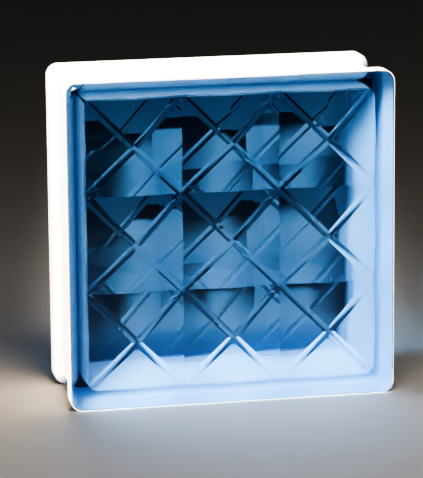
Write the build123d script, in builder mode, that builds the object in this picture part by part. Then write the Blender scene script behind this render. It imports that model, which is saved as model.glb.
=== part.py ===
from build123d import *
import os
from math import radians, tan

# Hollow glass block: two pressed glass halves, fused rim to rim at mid-depth,
# with a white coating round the edges. All sizes in millimetres.
# The block stands upright: X is the width, Y the depth, Z the height.
# Its front looks along -Y, and the origin is the middle of the underside.

# Overall size, taken over the coating
block_width = 190.0
block_height = 190.0
block_depth = 80.0

# Rims at the two faces, which stand proud of the channel for the mortar
rim_corner_radius = 7.0
rim_edge_radius = 4.0
rim_land_width = 11.0
shoulder_width = 5.0
channel_depth = 4.5
channel_corner_radius = 3.5
shoulder_top_radius = 2.0
shoulder_foot_radius = 3.0

# White coating on the edges
coating_thickness = 0.5

# Hollow of each half, as the plunger of the press leaves it
face_thickness = 7.0
wall_thickness = 5.0
plunger_draft = 1.0
plunger_corner_radius = 6.0
plunger_nose_radius = 4.5

# Relief on the inner faces: square pyramids, each side folded along its middle
prisms_across = 3
prisms_up = 3
prism_height = 6.5
fold_height = 1.0

# Depths of the edge's corners, measured from the seam
face_depth = block_depth / 2
land_outer_depth = face_depth - rim_edge_radius
land_inner_depth = land_outer_depth - rim_land_width
channel_edge_depth = land_inner_depth - shoulder_width

# Hollow at the seam, where the wall of each half is thinnest
channel_inset = channel_depth + coating_thickness
hollow_width = block_width - 2 * (channel_inset + wall_thickness)
hollow_height = block_height - 2 * (channel_inset + wall_thickness)
hollow_depth = face_depth - face_thickness
draft_inset = hollow_depth * tan(radians(plunger_draft))

# Seam plane, facing forwards, at the middle of the block
seam = Plane(origin=(0, 0, block_height / 2), x_dir=(1, 0, 0), z_dir=(0, -1, 0))

os.makedirs("parts", exist_ok=True)


# Outlines of the coated edge from the face to the seam: depth, inset, corner radius
face_outline = (face_depth, 0, rim_corner_radius)
land_outer_outline = (land_outer_depth, 0, rim_corner_radius)
land_inner_outline = (land_inner_depth, 0, rim_corner_radius)
channel_outline = (channel_edge_depth, channel_depth, channel_corner_radius)
seam_outline = (0, channel_depth, channel_corner_radius)


# How far from its depth an edge may lie and still be picked for a fillet
depth_slack = 0.01


def edges_at(body, depth):
    """The long edges of a body that lie at one depth in front of the seam."""
    return body.edges().filter_by_position(Axis.Y, -depth - depth_slack, -depth + depth_slack)


# Bare glass of one half, still solid, with the shoulder and the rounded rim
with BuildPart() as blank:
    for depth, inset, radius in (face_outline, land_inner_outline, channel_outline, seam_outline):
        with BuildSketch(seam.offset(depth)):
            RectangleRounded(
                block_width - 2 * (inset + coating_thickness),
                block_height - 2 * (inset + coating_thickness),
                radius - coating_thickness,
            )
    loft(ruled=True)
    fillet(edges_at(blank, land_inner_depth), shoulder_top_radius - coating_thickness)
    fillet(edges_at(blank, channel_edge_depth), shoulder_foot_radius + coating_thickness)
    fillet(edges_at(blank, face_depth), rim_edge_radius)

# One pyramid of the relief, standing on the ground plane
pitch_across = (hollow_width - 2 * draft_inset) / prisms_across
pitch_up = (hollow_height - 2 * draft_inset) / prisms_up
fold_reach = prism_height / (prism_height - fold_height) / 2
with BuildPart() as prism:
    with BuildSketch() as foot:
        Polygon(
            (pitch_across * fold_reach, 0),
            (pitch_across / 2, pitch_up / 2),
            (0, pitch_up * fold_reach),
            (-pitch_across / 2, pitch_up / 2),
            (-pitch_across * fold_reach, 0),
            (-pitch_across / 2, -pitch_up / 2),
            (0, -pitch_up * fold_reach),
            (pitch_across / 2, -pitch_up / 2),
            align=None,
        )
    loft([foot.sketch.face(), Vertex(0, 0, prism_height)])
    with BuildSketch():
        Rectangle(pitch_across, pitch_up)
    extrude(amount=prism_height, mode=Mode.INTERSECT)

# Plunger that presses the hollow: drafted, round at the nose, with the relief sunk in it
inner_face = Plane(origin=seam.offset(hollow_depth).origin, x_dir=(1, 0, 0), z_dir=(0, 1, 0))
with BuildPart(inner_face) as plunger:
    with BuildSketch(seam):
        RectangleRounded(hollow_width, hollow_height, plunger_corner_radius)
    extrude(amount=hollow_depth, taper=plunger_draft)
    fillet(plunger.edges().group_by(Axis.Y)[0], plunger_nose_radius)
    with GridLocations(pitch_across, pitch_up, prisms_across, prisms_up):
        add(prism.part, mode=Mode.SUBTRACT)

# Front half of the glass
with BuildPart() as front_half:
    add(blank.part)
    add(plunger.part, mode=Mode.SUBTRACT)

front_half.part.label = "front_half"
export_step(front_half.part, "parts/front_half.step")

# Back half, the same pressing turned round
with BuildPart() as back_half:
    mirror(front_half.part, about=Plane.XZ)

back_half.part.label = "back_half"
export_step(back_half.part, "parts/back_half.step")

# White coating, from one rim's edge to the other, over lands, shoulders and channel
with BuildPart() as edge_coating:
    front_outlines = (land_outer_outline, land_inner_outline, channel_outline)
    back_outlines = [(-depth, inset, radius) for depth, inset, radius in reversed(front_outlines)]
    for depth, inset, radius in (*front_outlines, *back_outlines):
        with BuildSketch(seam.offset(depth)):
            RectangleRounded(block_width - 2 * inset, block_height - 2 * inset, radius)
    loft(ruled=True)
    for side in (1, -1):
        fillet(edges_at(edge_coating, side * land_inner_depth), shoulder_top_radius)
        fillet(edges_at(edge_coating, side * channel_edge_depth), shoulder_foot_radius)
    add(blank.part, mode=Mode.SUBTRACT)
    mirror(blank.part, about=Plane.XZ, mode=Mode.SUBTRACT)

edge_coating.part.label = "edge_coating"
export_step(edge_coating.part, "parts/edge_coating.step")
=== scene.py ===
from math import atan2, cos, pi, radians, sin, sqrt, tan

import bmesh
import bpy
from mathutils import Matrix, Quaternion, Vector


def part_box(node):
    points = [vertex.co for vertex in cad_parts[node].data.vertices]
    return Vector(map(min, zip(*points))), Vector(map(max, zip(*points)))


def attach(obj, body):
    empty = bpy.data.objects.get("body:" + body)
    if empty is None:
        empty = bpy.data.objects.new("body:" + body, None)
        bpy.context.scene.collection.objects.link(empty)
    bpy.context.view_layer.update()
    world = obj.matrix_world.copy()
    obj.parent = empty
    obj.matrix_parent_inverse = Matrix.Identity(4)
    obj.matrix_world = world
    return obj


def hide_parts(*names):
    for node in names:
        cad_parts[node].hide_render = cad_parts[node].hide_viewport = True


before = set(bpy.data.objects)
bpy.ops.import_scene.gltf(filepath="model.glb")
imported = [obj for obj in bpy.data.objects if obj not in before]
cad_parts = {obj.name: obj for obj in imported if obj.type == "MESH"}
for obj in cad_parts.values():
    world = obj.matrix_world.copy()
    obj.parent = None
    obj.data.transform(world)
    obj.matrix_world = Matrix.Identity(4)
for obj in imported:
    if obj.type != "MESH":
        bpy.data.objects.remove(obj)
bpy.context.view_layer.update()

# Glass body. Two pressed dishes of blue soda-lime glass, fused rim to rim at mid-depth
# into one hollow block. The press leaves flat outer faces, rounded rims and a channel
# round the edges for the mortar.
mm = 0.001
back_low, back_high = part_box("back_half")
coat_low, coat_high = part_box("edge_coating")
block_middle = (coat_low + coat_high) / 2
block_width = coat_high.x - coat_low.x
block_height = coat_high.z - coat_low.z
face_depth = back_high.y
coated_depth = coat_high.y
coating_thickness = coat_high.x - back_high.x

rim_corner_radius = 7 * mm
rim_edge_radius = 4 * mm
rim_land_width = 11 * mm
shoulder_width = 5 * mm
channel_depth = 4.5 * mm
shoulder_top_radius = 2 * mm
shoulder_foot_radius = 3 * mm
shoulder_turn = atan2(channel_depth, shoulder_width)
land_inner_depth = coated_depth - rim_land_width
channel_edge_depth = land_inner_depth - shoulder_width
near = 0.01 * mm

# The glass reaches into the coating, so that no film of air shows between the two
glass_in_coating = 0.1 * mm
glass_inset = coating_thickness - glass_in_coating


def select_nothing():
    """Deselects every object, so that the next operator works on what it adds."""
    bpy.ops.object.select_all(action="DESELECT")


def pick(piece, kind, wanted):
    """In edit mode, selects only the verts, edges or faces of a piece that are wanted."""
    bpy.ops.mesh.select_mode(type={"verts": "VERT", "edges": "EDGE", "faces": "FACE"}[kind])
    bpy.ops.mesh.select_all(action="DESELECT")
    mesh = bmesh.from_edit_mesh(piece.data)
    for part in getattr(mesh, kind):
        if wanted(part):
            part.select_set(True)
    bmesh.update_edit_mesh(piece.data)


def along_depth(edge):
    """True if an edge runs straight or nearly straight through the block's depth."""
    run = edge.verts[1].co - edge.verts[0].co
    return abs(run.y) > 0.999 * run.length


def at_depth(part, depth):
    """True if all of an edge or face lies at one depth from the seam."""
    return all(abs(vert.co.y - depth) < near for vert in part.verts)


select_nothing()
bpy.ops.mesh.primitive_cube_add(size=1, location=block_middle)
glass = bpy.context.object
glass.name = "glass_body"
glass.scale = (block_width - 2 * glass_inset, 2 * face_depth, block_height - 2 * glass_inset)
bpy.ops.object.transform_apply(location=True, rotation=True, scale=True)
bpy.ops.object.mode_set(mode="EDIT")
pick(glass, "edges", along_depth)
bpy.ops.mesh.bevel(offset=rim_corner_radius - glass_inset, segments=10, affect="EDGES")

# Channel between the two rims, with a sloping shoulder on each side
for depth in (-land_inner_depth, -channel_edge_depth, channel_edge_depth, land_inner_depth):
    bpy.ops.mesh.select_all(action="SELECT")
    bpy.ops.mesh.bisect(plane_co=(0, depth, 0), plane_no=(0, 1, 0))
pick(glass, "verts", lambda vert: abs(vert.co.y) < channel_edge_depth + near)
bpy.ops.transform.shrink_fatten(value=-channel_depth, use_even_offset=True)
for depth, radius in (
    (land_inner_depth, shoulder_top_radius - glass_inset),
    (channel_edge_depth, shoulder_foot_radius + glass_inset),
):
    pick(glass, "edges", lambda edge: at_depth(edge, depth) or at_depth(edge, -depth))
    bpy.ops.mesh.bevel(offset=radius * tan(shoulder_turn / 2), segments=4, affect="EDGES")
pick(glass, "edges", lambda edge: at_depth(edge, face_depth) or at_depth(edge, -face_depth))
bpy.ops.mesh.bevel(offset=rim_edge_radius, segments=8, affect="EDGES")
bpy.ops.object.mode_set(mode="OBJECT")

# Hollow inside the glass, as the plunger of the press leaves it, with drafted walls. The
# plunger's end presses three by three square facetted pits into the face. Each is an
# upturned pyramid whose sides fold along their middles, with a fine bead on each diagonal.
face_thickness = 5 * mm
wall_thickness = 5 * mm
plunger_draft = radians(1)
plunger_corner_radius = 6 * mm
pits_across = 3
fold_height = 4.8 * mm
corner_height = 9.3 * mm
bead_width = 4.4 * mm
bead_height = 0.6 * mm
relief_overreach = 2 * mm
inner_depth = face_depth - face_thickness
seam_width = block_width - 2 * (channel_depth + coating_thickness + wall_thickness)
nose_width = seam_width - 2 * inner_depth * tan(plunger_draft)
pitch = nose_width / pits_across
crease_angle = radians(18)

select_nothing()
bpy.ops.mesh.primitive_cube_add(size=1, location=(0, -inner_depth / 2, block_middle.z))
hollow = bpy.context.object
hollow.name = "hollow"
hollow.scale = (seam_width, inner_depth, seam_width)
bpy.ops.object.transform_apply(location=True, rotation=True, scale=True)
bpy.ops.object.mode_set(mode="EDIT")
pick(hollow, "faces", lambda face: at_depth(face, -inner_depth))
narrowing = nose_width / seam_width
bpy.ops.transform.resize(value=(narrowing, 1, narrowing), center_override=(0, 0, block_middle.z))
pick(hollow, "edges", along_depth)
bpy.ops.mesh.bevel(offset=plunger_corner_radius, segments=6, affect="EDGES")
bpy.ops.object.mode_set(mode="OBJECT")

select_nothing()
bpy.ops.mesh.primitive_grid_add(
    x_subdivisions=2 * pits_across,
    y_subdivisions=2 * pits_across,
    size=nose_width,
    location=(0, -inner_depth, block_middle.z),
    rotation=(pi / 2, 0, 0),
)
relief = bpy.context.object
relief.name = "relief"
bpy.ops.object.transform_apply(location=True, rotation=True, scale=True)
bpy.ops.object.mode_set(mode="EDIT")


def lattice_place(vert):
    """Column and row of a vertex of the relief, counted in half pits from the middle."""
    return round(2 * vert.co.x / pitch), round(2 * (vert.co.z - block_middle.z) / pitch)


def is_middle(vert):
    """True in the middle of a pit. The middle one lies in the middle of the face."""
    return all(count % 2 == 0 for count in lattice_place(vert))


def is_fold(vert):
    """True half way along a pit's side, where it folds."""
    return sum(lattice_place(vert)) % 2 == 1


def is_corner(vert):
    """True at a corner of a pit, where four pits meet."""
    return all(count % 2 == 1 for count in lattice_place(vert))


def from_diagonal(point):
    """Distance of a point of the relief from the nearest diagonal of the pits."""
    across, up = point.x / pitch, (point.z - block_middle.z) / pitch
    return pitch / sqrt(2) * min(abs(way - round(way)) for way in (across + up, across - up))


pick(relief, "verts", is_fold)
bpy.ops.transform.translate(value=(0, fold_height, 0))
pick(relief, "verts", is_corner)
bpy.ops.transform.translate(value=(0, corner_height, 0))
pick(relief, "verts", lambda vert: is_middle(vert) or is_corner(vert))
bpy.ops.mesh.vert_connect()
pick(
    relief,
    "edges",
    lambda edge: not edge.is_boundary
    and from_diagonal((edge.verts[0].co + edge.verts[1].co) / 2) < near,
)
bpy.ops.mesh.bevel(offset=bead_width / 2, segments=4, affect="EDGES")
# The bead's shoulders and crown rise by most of its height, and then the crown by the rest
for width_share, height_share in ((0.35, 0.7), (0.12, 0.3)):
    pick(relief, "verts", lambda vert: from_diagonal(vert.co) < width_share * bead_width)
    bpy.ops.transform.translate(value=(0, height_share * bead_height, 0))
# The relief reaches past the sides of the hollow and gets a flat back in the outer face
pick(relief, "edges", lambda edge: edge.is_boundary)
bpy.ops.mesh.extrude_edges_move()
widening = 1 + 2 * relief_overreach / nose_width
bpy.ops.transform.resize(value=(widening, 1, widening), center_override=(0, 0, block_middle.z))
bpy.ops.mesh.select_all(action="SELECT")
bpy.ops.mesh.extrude_region_move(TRANSFORM_OT_translate={"value": (0, -face_thickness, 0)})
bpy.ops.transform.resize(value=(1, 0, 1), center_override=(0, -face_depth, 0))
bpy.ops.mesh.select_all(action="SELECT")
bpy.ops.mesh.normals_make_consistent(inside=False)
bpy.ops.object.mode_set(mode="OBJECT")

# The relief shapes the end of the hollow, and a mirror image is the back half's hollow
pressing = hollow.modifiers.new("pressing", "BOOLEAN")
pressing.operation = "DIFFERENCE"
pressing.solver = "EXACT"
pressing.object = relief
select_nothing()
bpy.context.view_layer.objects.active = hollow
bpy.ops.object.modifier_apply(modifier="pressing")
relief.select_set(True)
bpy.ops.object.delete()

select_nothing()
hollow.select_set(True)
bpy.context.view_layer.objects.active = hollow
bpy.ops.object.mode_set(mode="EDIT")
pick(hollow, "faces", lambda face: at_depth(face, 0))
bpy.ops.mesh.delete(type="FACE")
bpy.ops.object.mode_set(mode="OBJECT")
mirror = hollow.modifiers.new("mirror", "MIRROR")
mirror.use_axis = (False, True, False)
mirror.merge_threshold = near
bpy.ops.object.modifier_apply(modifier="mirror")
bpy.ops.object.mode_set(mode="EDIT")
bpy.ops.mesh.select_all(action="SELECT")
bpy.ops.mesh.remove_doubles(threshold=near)
bpy.ops.mesh.normals_make_consistent(inside=True)
bpy.ops.object.mode_set(mode="OBJECT")

# The skin of the hollow becomes the inner surface of the glass
glass.select_set(True)
bpy.context.view_layer.objects.active = glass
bpy.ops.object.join()
bpy.ops.object.shade_smooth_by_angle(angle=crease_angle)
flat_faces = glass.modifiers.new("flat_faces", "WEIGHTED_NORMAL")
flat_faces.keep_sharp = True
flat_faces.weight = 100
bpy.ops.object.modifier_apply(modifier="flat_faces")


def linear(code):
    """The linear colour of an sRGB hex code."""
    parts = [int(code[i : i + 2], 16) / 255 for i in (1, 3, 5)]
    return [c / 12.92 if c <= 0.04045 else ((c + 0.055) / 1.055) ** 2.4 for c in parts] + [1]


def add_node(material, kind, settings=(), links=()):
    """Adds a node to a material or world, with its settings and its links from other nodes."""
    node = material.node_tree.nodes.new(kind)
    for name, value in dict(settings).items():
        if isinstance(name, int) or name in node.inputs:
            node.inputs[name].default_value = value
        else:
            setattr(node, name, value)
    for name, source in dict(links).items():
        material.node_tree.links.new(source, node.inputs[name])
    return node


def new_material(name):
    """A material with no nodes yet."""
    material = bpy.data.materials.new(name)
    material.use_nodes = True
    material.node_tree.nodes.clear()
    return material


# Blue pressed soda-lime glass, tinted through and deeper in its fire-polished faces. The
# long way through a rim looks navy and the panes look mid blue. A faint ripple from the
# press bends what is seen through them. The sides of the hollow, where the plunger slid
# out, are matt and blur what lies behind them.
ripple_spacing = 14 * mm
ripple_height = 0.02 * mm
polished_skin = 2 * mm
wall_roughness = 0.55
wall_margin = 1 * mm
face_margin = 0.5 * mm
tint_per_metre = 50
blue_glass = new_material("pressed_blue_glass")
place = add_node(blue_glass, "ShaderNodeTexCoord")
middle = add_node(
    blue_glass,
    "ShaderNodeVectorMath",
    {"operation": "SUBTRACT", 1: block_middle},
    {0: place.outputs["Object"]},
)
off_middle = add_node(
    blue_glass, "ShaderNodeVectorMath", {"operation": "ABSOLUTE"}, {0: middle.outputs[0]}
)
axes = add_node(blue_glass, "ShaderNodeSeparateXYZ", {}, {0: off_middle.outputs[0]})
reach = add_node(
    blue_glass,
    "ShaderNodeMath",
    {"operation": "MAXIMUM"},
    {0: axes.outputs["X"], 1: axes.outputs["Z"]},
)
# These find the sides of the hollow: on_wall is 1 there and 0 elsewhere
past_relief = add_node(
    blue_glass,
    "ShaderNodeMath",
    {"operation": "GREATER_THAN", 1: nose_width / 2 - wall_margin},
    {0: reach.outputs[0]},
)
inside_skin = add_node(
    blue_glass,
    "ShaderNodeMath",
    {"operation": "LESS_THAN", 1: seam_width / 2 + wall_margin},
    {0: reach.outputs[0]},
)
behind_face = add_node(
    blue_glass,
    "ShaderNodeMath",
    {"operation": "LESS_THAN", 1: inner_depth - face_margin},
    {0: axes.outputs["Y"]},
)
on_side = add_node(
    blue_glass,
    "ShaderNodeMath",
    {"operation": "MULTIPLY"},
    {0: past_relief.outputs[0], 1: inside_skin.outputs[0]},
)
on_wall = add_node(
    blue_glass,
    "ShaderNodeMath",
    {"operation": "MULTIPLY"},
    {0: on_side.outputs[0], 1: behind_face.outputs[0]},
)
# Only the sides are rough, and only the polished outer faces tint the light once more
frost = add_node(
    blue_glass,
    "ShaderNodeMath",
    {"operation": "MULTIPLY", 1: wall_roughness},
    {0: on_wall.outputs[0]},
)
outside = add_node(
    blue_glass,
    "ShaderNodeMath",
    {"operation": "GREATER_THAN", 1: face_depth - polished_skin},
    {0: axes.outputs["Y"]},
)
hue = add_node(
    blue_glass,
    "ShaderNodeMix",
    {"data_type": "RGBA", 6: linear("#ffffff"), 7: linear("#86c4ff")},
    {0: outside.outputs[0]},
)
ripple = add_node(
    blue_glass,
    "ShaderNodeTexNoise",
    {"Scale": 1 / ripple_spacing, "Detail": 1.0},
    {"Vector": place.outputs["Object"]},
)
pressed = add_node(
    blue_glass, "ShaderNodeBump", {"Distance": ripple_height}, {"Height": ripple.outputs["Fac"]}
)
surface = add_node(
    blue_glass,
    "ShaderNodeBsdfPrincipled",
    {"IOR": 1.52, "Transmission Weight": 1.0},
    {
        "Roughness": frost.outputs[0],
        "Base Color": hue.outputs[2],
        "Normal": pressed.outputs[0],
    },
)
clear = add_node(blue_glass, "ShaderNodeBsdfTransparent")
path = add_node(blue_glass, "ShaderNodeLightPath")
mix = add_node(
    blue_glass,
    "ShaderNodeMixShader",
    {},
    {0: path.outputs["Is Shadow Ray"], 1: surface.outputs[0], 2: clear.outputs[0]},
)
tint = add_node(
    blue_glass,
    "ShaderNodeVolumeAbsorption",
    {"Color": linear("#0095c2"), "Density": tint_per_metre},
)
add_node(
    blue_glass,
    "ShaderNodeOutputMaterial",
    {},
    {"Surface": mix.outputs[0], "Volume": tint.outputs[0]},
)
glass.data.materials.clear()
glass.data.materials.append(blue_glass)
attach(glass, "root")
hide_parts("front_half", "back_half")

# White coating. Cement-bonding paint sprayed round the edge from rim to rim, over lands,
# shoulders and channel. It is bonded to the glass, seen through it as a white lining, and
# thin enough to pass some light into the hollow.
speck_spacing = 0.8 * mm
speck_height = 0.02 * mm
cloud_spacing = 35 * mm
see_through_depth = 2 * mm
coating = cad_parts["edge_coating"]

# Matt white paint, sprayed on glass: specks of spray, drawn coarser than they are so that
# they show, slightly uneven cover, and a glow where light comes through from outside
sprayed = new_material("sprayed_white_paint")
spot = add_node(sprayed, "ShaderNodeTexCoord")
specks = add_node(
    sprayed,
    "ShaderNodeTexNoise",
    {"Scale": 1 / speck_spacing, "Detail": 2.0},
    {"Vector": spot.outputs["Object"]},
)
clouds = add_node(
    sprayed,
    "ShaderNodeTexNoise",
    {"Scale": 1 / cloud_spacing, "Detail": 3.0},
    {"Vector": spot.outputs["Object"]},
)
cover = add_node(
    sprayed,
    "ShaderNodeMix",
    {"data_type": "RGBA", 6: linear("#e6e8e6"), 7: linear("#f6f7f6")},
    {0: clouds.outputs["Fac"]},
)
dryness = add_node(
    sprayed,
    "ShaderNodeMapRange",
    {"To Min": 0.5, "To Max": 0.65},
    {"Value": clouds.outputs["Fac"]},
)
grain = add_node(
    sprayed, "ShaderNodeBump", {"Distance": speck_height}, {"Height": specks.outputs["Fac"]}
)
paint = add_node(
    sprayed,
    "ShaderNodeBsdfPrincipled",
    {
        "IOR": 1.5,
        "Subsurface Weight": 0.6,
        "Subsurface Radius": (1, 1, 1),
        "Subsurface Scale": see_through_depth,
    },
    {
        "Base Color": cover.outputs[2],
        "Roughness": dryness.outputs[0],
        "Normal": grain.outputs[0],
    },
)
add_node(sprayed, "ShaderNodeOutputMaterial", {}, {"Surface": paint.outputs[0]})
for slot in coating.material_slots:
    slot.material = sprayed

# Studio. The block stands on a pale painted board, under soft lamps. Those that light the
# block don't light the board, so that each is as bright as in the photo.
floor_size = 3.6
mottle_spacing = 25 * mm
select_nothing()
bpy.ops.mesh.primitive_plane_add(size=floor_size)
floor = bpy.context.object
floor.name = "floor"

# Pale matt board, rolled with emulsion paint, faintly mottled
board = new_material("painted_board")
on_floor = add_node(board, "ShaderNodeTexCoord")
mottle = add_node(
    board,
    "ShaderNodeTexNoise",
    {"Scale": 1 / mottle_spacing, "Detail": 3.0},
    {"Vector": on_floor.outputs["Object"]},
)
shade = add_node(
    board,
    "ShaderNodeMix",
    {"data_type": "RGBA", 6: linear("#b3aaa1"), 7: linear("#b8b0a7")},
    {0: mottle.outputs["Fac"]},
)
matt = add_node(
    board, "ShaderNodeBsdfPrincipled", {"Roughness": 0.7}, {"Base Color": shade.outputs[2]}
)
add_node(board, "ShaderNodeOutputMaterial", {}, {"Surface": matt.outputs[0]})
floor.data.materials.append(board)


def sight(azimuth, elevation):
    """Direction from the block to something at an azimuth, 0 in front, and an elevation."""
    turn, rise = radians(azimuth), radians(elevation)
    return Vector((sin(turn) * cos(rise), -cos(turn) * cos(rise), sin(rise)))


def softbox(name, azimuth, elevation, distance, size, power):
    """A square area light turned to the block's middle, placed round it as the camera is."""
    data = bpy.data.lights.new(name, "AREA")
    data.shape = "SQUARE"
    data.size = size
    data.energy = power
    lamp = bpy.data.objects.new(name, data)
    bpy.context.scene.collection.objects.link(lamp)
    away = sight(azimuth, elevation)
    lamp.location = block_middle + away * distance
    lamp.rotation_euler = away.to_track_quat("Z", "Y").to_euler()
    return lamp


block_only = bpy.data.collections.new("block_only")
for piece in (glass, coating):
    block_only.objects.link(piece)
floor_only = bpy.data.collections.new("floor_only")
floor_only.objects.link(floor)
key = softbox("key", azimuth=-43, elevation=45, distance=1.3, size=0.5, power=185)
key.data.color = linear("#fff0de")[:3]
key.light_linking.receiver_collection = block_only
fill = softbox("fill", azimuth=175, elevation=50, distance=1.3, size=0.5, power=20)
fill.light_linking.receiver_collection = block_only
overhead = softbox("overhead", azimuth=0, elevation=55, distance=0.6, size=0.3, power=2.2)
overhead.light_linking.receiver_collection = floor_only

# Light that the block throws on the floor behind it, which its facets then show. The lamp
# hangs low along the line on the floor that the block hides from the camera.
hidden_line = Vector((0.199, 0.98, 0))
thrown_distance = 0.6
thrown_height = 0.1
thrown_data = bpy.data.lights.new("thrown", "AREA")
thrown_data.shape = "RECTANGLE"
thrown_data.size = 0.15
thrown_data.size_y = 0.95
thrown_data.spread = radians(80)
thrown_data.energy = 0.9
thrown = bpy.data.objects.new("thrown", thrown_data)
bpy.context.scene.collection.objects.link(thrown)
thrown.location = hidden_line * thrown_distance + Vector((0, 0, thrown_height))
thrown.rotation_euler = (0, 0, -atan2(hidden_line.x, hidden_line.y))
thrown.light_linking.receiver_collection = floor_only

# Grey backdrop all round, lightest at the level of the floor and fading upwards
world = bpy.data.worlds.new("studio")
bpy.context.scene.world = world
world.use_nodes = True
around = add_node(world, "ShaderNodeTexCoord")
height = add_node(world, "ShaderNodeSeparateXYZ", {}, {0: around.outputs["Generated"]})
glow = add_node(
    world,
    "ShaderNodeMapRange",
    {"From Min": 0.0, "From Max": 0.3, "To Min": 0.25, "To Max": 0.03},
    {"Value": height.outputs["Z"]},
)
background = world.node_tree.nodes["Background"]
world.node_tree.links.new(glow.outputs[0], background.inputs["Strength"])
background.inputs["Color"].default_value = linear("#ffffff")

# The photo has hard contrast
bpy.context.scene.view_settings.look = "AgX - High Contrast"

# A ray through the block crosses many faces of glass before it ends
cycles = bpy.context.scene.cycles
cycles.max_bounces = 32
cycles.glossy_bounces = 24
cycles.transmission_bounces = 32
cycles.transparent_max_bounces = 32

# Camera, fitted to seven corners of the block in the photo
frame_pixels = 478
sensor_width = 36
focal_pixels = 2911
camera_distance = 1.692
view_from = sight(-11.49, 12.43)
aim_shift = Vector((-4.9 * mm, -6.4 * mm, 0))
roll = Quaternion((0, 0, 1), radians(-0.5))
camera_data = bpy.data.cameras.new("camera")
camera_data.sensor_width = sensor_width
camera_data.lens = sensor_width * focal_pixels / frame_pixels
camera_data.clip_start = 0.05
camera_data.clip_end = 30
camera = bpy.data.objects.new("camera", camera_data)
bpy.context.scene.collection.objects.link(camera)
bpy.context.scene.camera = camera
turned = view_from.to_track_quat("Z", "Y")
aim = block_middle + turned @ aim_shift
camera.location = aim + view_from * camera_distance
camera.rotation_euler = (turned @ roll).to_euler()
